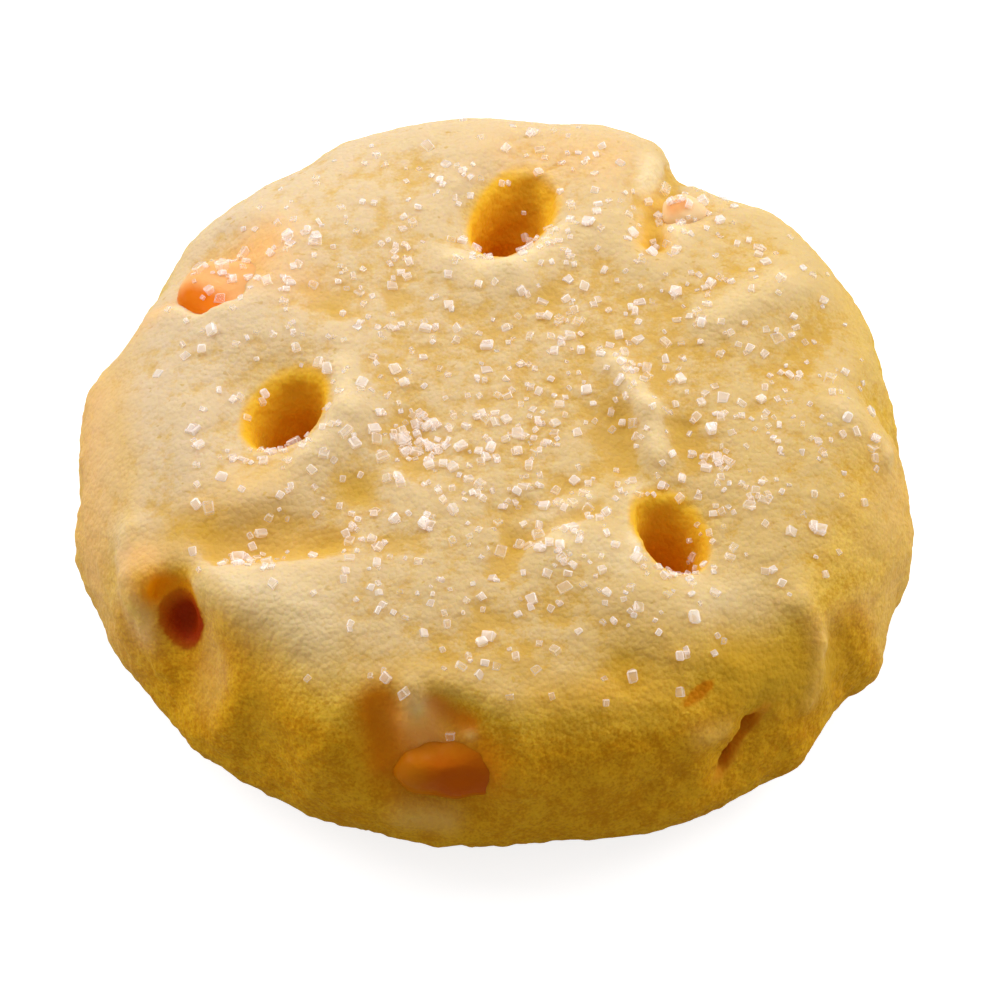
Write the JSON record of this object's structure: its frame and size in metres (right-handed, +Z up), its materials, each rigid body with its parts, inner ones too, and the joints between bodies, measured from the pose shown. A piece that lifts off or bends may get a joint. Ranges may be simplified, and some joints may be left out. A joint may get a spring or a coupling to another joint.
{
  "type": "shortbread biscuit",
  "caption": "Thick round hand-shaped shortbread biscuit, pricked through its sugared top, with small pieces of candied fruit showing at its edges.",
  "frame": {"origin": "middle of the biscuit's box at the flat base that it rests on", "axes": "+Z up, out of the pricked and sugared top; -Y is the front, the side with the fruit that shows in its wall; +X is to the right as seen from the front"},
  "size_m": [0.058, 0.0579, 0.0172],
  "materials": {
    "baked_dough": "matte",
    "candied_fruit": "satin",
    "sugar": "satin"
  },
  "bodies": {
    "root": {"shortbread": "baked_dough", "fruit_left": "candied_fruit", "fruit_front": "candied_fruit", "fruit_back": "candied_fruit"}
  },
  "joints": []
}
